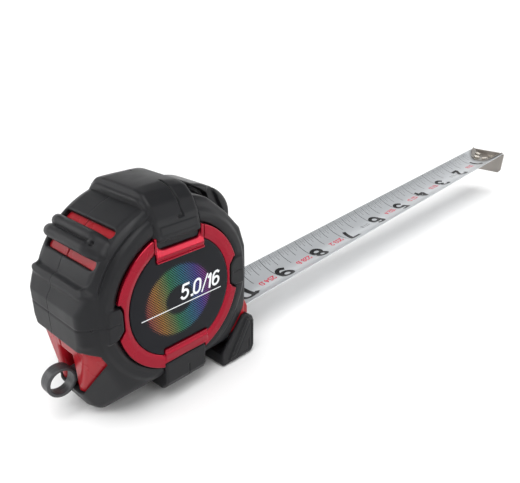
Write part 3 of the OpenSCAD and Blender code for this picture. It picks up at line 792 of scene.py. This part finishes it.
for k in range(1, 11):
    s = -k * IN
    if k == 10:
        digits("1", s + 9.6, 2.0, 7.9, 1.95, 1, wide=1.15)
        digits("0", s + 6.4, 2.0, 7.9, 1.95, 1, wide=1.15)
    else:
        digits(str(k), s + 6.3, 2.0, 7.9, 1.95, 1, wide=1.15)
    if k in (2, 4, 5, 6, 8, 9, 10):
        digits("%.1f" % (k * IN), s + 23.4, 0.4, 2.7, 0.55, 3, 0.025)
    if k in (3, 7):
        digits("%.1f" % (k * IN), s + 22.6, 0.1, 2.0, 0.28, 2, 0.025)
V = np.concatenate(verts)
F = np.concatenate(faces)
blade = mesh("blade_strip", V, F, [BLADE, INK, INK_SOFT, INK_RED])
blade.data.polygons.foreach_set("material_index", np.concatenate(mats).astype(np.int32))
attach(blade, "blade")
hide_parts("blade")
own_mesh(blade)

# ---------------------------------------------------------------- badges
def label_material():
    mt = principled("badge", (0.0065, 0.0072, 0.0098), 0.32, spec=0.12, coat=0.05, coat_rough=0.1)
    t = mt.node_tree
    N, L = t.nodes, t.links
    b = N["Principled BSDF"]
    co = N.new("ShaderNodeTexCoord")
    sep = N.new("ShaderNodeSeparateXYZ")
    L.new(co.outputs["Object"], sep.inputs[0])

    def math_(op, a, c=None, d=None):
        n = N.new("ShaderNodeMath")
        n.operation = op
        for k, v in enumerate((a, c, d)):
            if v is None:
                continue
            if isinstance(v, (int, float)):
                n.inputs[k].default_value = v
            else:
                L.new(v, n.inputs[k])
        return n.outputs[0]

    X = math_("MULTIPLY", sep.outputs[0], 1000.0)
    Z = math_("SUBTRACT", math_("MULTIPLY", sep.outputs[2], 1000.0), AX)
    # halftone dots on a slanted lattice
    p = 0.62
    ua = math_("DIVIDE", math_("ADD", X, Z), p * 1.41421)
    va = math_("DIVIDE", math_("SUBTRACT", X, Z), p * 1.41421)
    fu = math_("SUBTRACT", math_("FRACT", ua), 0.5)
    fv = math_("SUBTRACT", math_("FRACT", va), 0.5)
    dot = math_("SQRT", math_("ADD", math_("MULTIPLY", fu, fu), math_("MULTIPLY", fv, fv)))
    # a round field of dots that fades towards its middle and its edge
    cx, cz = math_("ADD", X, 1.2), math_("MULTIPLY", math_("ADD", Z, 0.4), 1.08)
    rad = math_("SQRT", math_("ADD", math_("MULTIPLY", cx, cx), math_("MULTIPLY", cz, cz)))
    band_ = math_("SUBTRACT", 1.05, math_("MULTIPLY", math_("ABSOLUTE", math_("SUBTRACT", rad, 9.3)), 0.22))
    amp = math_("MINIMUM", math_("MAXIMUM", band_, 0.0), 0.33)
    on = math_("LESS_THAN", dot, amp)
    ramp = N.new("ShaderNodeValToRGB")
    e = ramp.color_ramp.elements
    cols = [(0.0, (0.30, 0.02, 0.06)), (0.2, (0.42, 0.20, 0.03)), (0.4, (0.03, 0.24, 0.09)), (0.58, (0.02, 0.17, 0.26)), (0.75, (0.07, 0.06, 0.33)), (0.9, (0.26, 0.03, 0.26)), (1.0, (0.30, 0.02, 0.12))]
    e[0].position, e[0].color = cols[0][0], (*cols[0][1], 1)
    e[1].position, e[1].color = cols[-1][0], (*cols[-1][1], 1)
    for ps, c in cols[1:-1]:
        k = e.new(ps)
        k.color = (*c, 1)
    pos = math_("ADD", math_("MULTIPLY", math_("ADD", X, math_("MULTIPLY", Z, 0.2)), 1 / 30), 0.52)
    L.new(pos, ramp.inputs[0])
    mx = N.new("ShaderNodeMix")
    mx.data_type = "RGBA"
    mx.inputs["A"].default_value = (0.0065, 0.0072, 0.0098, 1)
    L.new(on, mx.inputs["Factor"])
    L.new(ramp.outputs[0], mx.inputs["B"])
    L.new(mx.outputs["Result"], b.inputs["Base Color"])
    return mt


LABEL = label_material()


def badge(name, side):
    """A thin disc with a rounded rim, and its plain print."""
    verts.clear(), faces.clear(), mats.clear()

    def f(x, y, z):
        a = y * side
        rho, th = polar(x, z)
        g = smax(rho - 20.15, a - 19.0, 0.35)
        g = smax(g, 17.85 - a, 0.1)
        g = smax(g, -np.minimum(rbox2(x, z, 0.2, 60, 9.7, 7.65, 0.3), rbox2(x, z, 0.6, 12, 9.3, 9.55, 0.3)), 0.2)
        return g

    lo, hi = (-20.8, 17.4, 16), (20.8, 19.6, 59)
    if side < 0:
        lo, hi = (lo[0], -hi[1], lo[2]), (hi[0], -lo[1], hi[2])
    o = net(name + "_disc", f, lo, hi, 0.34 * Q, LABEL)
    y0 = side * 19.03

    def place(g):
        up = np.linspace(0, 0.03, g.shape[0])[:, None] + 0 * g[..., 0] + 0.012 * (len(verts) % 5)
        return np.stack([-side * g[..., 0], y0 + side * up, g[..., 1]], -1)

    # rule across the badge
    ribbon([(-16.2, 35.0), (16.6, 35.0)], 0.32, place, 0, 4)
    for c, left in () if side > 0 else (("5", -0.6), (".", 2.75), ("0", 4.5), ("/", 8.0), ("1", 10.3), ("6", 12.9)):
        pls, wid = strokes(c, 4.8)
        for pl in pls:
            ribbon([(px * (0.8 if c in "/1" else 0.94) + left + 0.16 * py, py + 36.8) for px, py in pl], 0.55 if c == "/" else 0.86, place, 0, 0.4)
    pr = mesh(name + "_print", np.concatenate(verts), np.concatenate(faces), WHITE_INK)
    return o, pr


for nm, side in (("face_label_right", -1), ("face_label_left", 1)):
    o, pr = badge(nm, side)
    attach(o, "case")
    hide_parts(nm)
    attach(pr, "case")

# ---------------------------------------------------------------- materials of the CAD nodes
LOOK = {
    "shell_right": RED, "shell_left": RED, "grip_right": RUBBER, "grip_left": RUBBER, "top_strap": RUBBER, "bottom_strap": RUBBER, "front_toe": RUBBER, "rear_rib": RUBBER,
    "face_ring_right": RED_METAL, "face_ring_left": RED_METAL, "face_label_right": LABEL, "face_label_left": LABEL, "centre_post": STEEL, "mouth_guide": REEL, "mouth_bumper": RUBBER,
    "lever_track": STEEL, "belt_clip": STEEL, "clip_screw": DARK_STEEL, "case_screws": DARK_STEEL, "eyelet_pin": STEEL, "reel_drum": REEL, "reel_cover": REEL, "mainspring": SPRING,
    "blade_roll": BLADE, "blade": BLADE, "hook_rivets": RIVET, "end_hook": HOOK, "lock_lever": RUBBER_SMOOTH, "brake_arm": RED, "brake_pad": RUBBER, "strap_eyelet": EYE,
}
LOOK["mouth_guide"] = principled("guide_plastic", (0.03, 0.03, 0.032), 0.4)
grain(LOOK["mouth_guide"], 5000, 0.1, 0.36, 0.44, (0.035, 0.035, 0.037))
for n, o in NODES.items():
    o.data.materials.clear()
    o.data.materials.append(LOOK[n])


def bevel(node, width, angle=35, seg=3):
    o = NODES[node]
    md = o.modifiers.new("edge", "BEVEL")
    md.width = width * MM
    md.segments = seg
    md.limit_method = "ANGLE"
    md.angle_limit = math.radians(angle)
    md.harden_normals = True


for n, w in (("belt_clip", 0.18), ("clip_screw", 0.25), ("end_hook", 0.12), ("hook_rivets", 0.2), ("mouth_bumper", 0.3)):
    bevel(n, w)

# ---------------------------------------------------------------- floor and light
me = bpy.data.meshes.new("floor")
me.from_pydata([(-3.6, -3.6, -0.0004), (3.6, -3.6, -0.0004), (3.6, 3.6, -0.0004), (-3.6, 3.6, -0.0004)], [], [(0, 1, 2, 3)])
floor = bpy.data.objects.new("floor", me)
bpy.context.scene.collection.objects.link(floor)
fm = principled("floor", (0.93, 0.93, 0.93), 0.9, spec=0.1)
grain(fm, 40, 0.01, 0.88, 0.92, (0.94, 0.94, 0.94))
me.materials.append(fm)

me = bpy.data.meshes.new("backdrop")
cyc = [(3.4 * math.cos(math.pi * k / 32), 3.4 * math.sin(math.pi * k / 32)) for k in range(64)]
me.from_pydata([(p, q, -0.1) for p, q in cyc] + [(p, q, 1.9) for p, q in cyc], [], [(k, (k + 1) % 64, 64 + (k + 1) % 64, 64 + k) for k in range(64)])
drop = bpy.data.objects.new("backdrop", me)
bpy.context.scene.collection.objects.link(drop)
dm = principled("backdrop", (0.93, 0.93, 0.93), 0.9, spec=0.1)
grain(dm, 40, 0.01, 0.88, 0.92, (0.94, 0.94, 0.94))
dn, dl = dm.node_tree.nodes, dm.node_tree.links
dc, ds, dr = dn.new("ShaderNodeTexCoord"), dn.new("ShaderNodeSeparateXYZ"), dn.new("ShaderNodeMapRange")
dr.inputs["From Min"].default_value, dr.inputs["From Max"].default_value = 0.3, 1.2
dr.inputs["To Min"].default_value, dr.inputs["To Max"].default_value = 0.62, 0.16
dl.new(dc.outputs["Object"], ds.inputs[0])
dl.new(ds.outputs[2], dr.inputs["Value"])
dl.new(dr.outputs["Result"], dn["Principled BSDF"].inputs["Emission Strength"])
dn["Principled BSDF"].inputs["Emission Color"].default_value = (1, 1, 1, 1)
me.materials.append(dm)

world = bpy.data.worlds.new("world")
bpy.context.scene.world = world
world.use_nodes = True
world.node_tree.nodes["Background"].inputs[0].default_value = (1, 1, 1, 1)
world.node_tree.nodes["Background"].inputs[1].default_value = 0.30


def area(name, loc, aim, size, power, size_y=None):
    l = bpy.data.lights.new(name, "AREA")
    l.energy = power
    l.size = size
    if size_y:
        l.shape = "RECTANGLE"
        l.size_y = size_y
    o = bpy.data.objects.new(name, l)
    o.location = loc
    o.rotation_mode = "QUATERNION"
    o.rotation_quaternion = (Vector(aim) - Vector(loc)).to_track_quat("-Z", "Y")
    o.visible_camera = False
    bpy.context.scene.collection.objects.link(o)
    return o


def sun(name, aim, strength, angle):
    l = bpy.data.lights.new(name, "SUN")
    l.energy = strength
    l.angle = math.radians(angle)
    o = bpy.data.objects.new(name, l)
    o.rotation_mode = "QUATERNION"
    o.rotation_quaternion = Vector(aim).to_track_quat("-Z", "Y")
    bpy.context.scene.collection.objects.link(o)
    return o


sun("sky", (0.30, 0.20, -1.0), 2.3, 44)
area("rear_box", (-0.56, 0.58, 0.46), (0.0, 0, 0.05), 0.34, 1.3)
area("front_box", (0.56, -0.61, 0.14), (0.0, 0, 0.05), 0.50, 0.85, 0.18)
area("side_box", (0.0, -0.70, 0.60), (0.03, 0, 0.04), 0.22, 0.5)
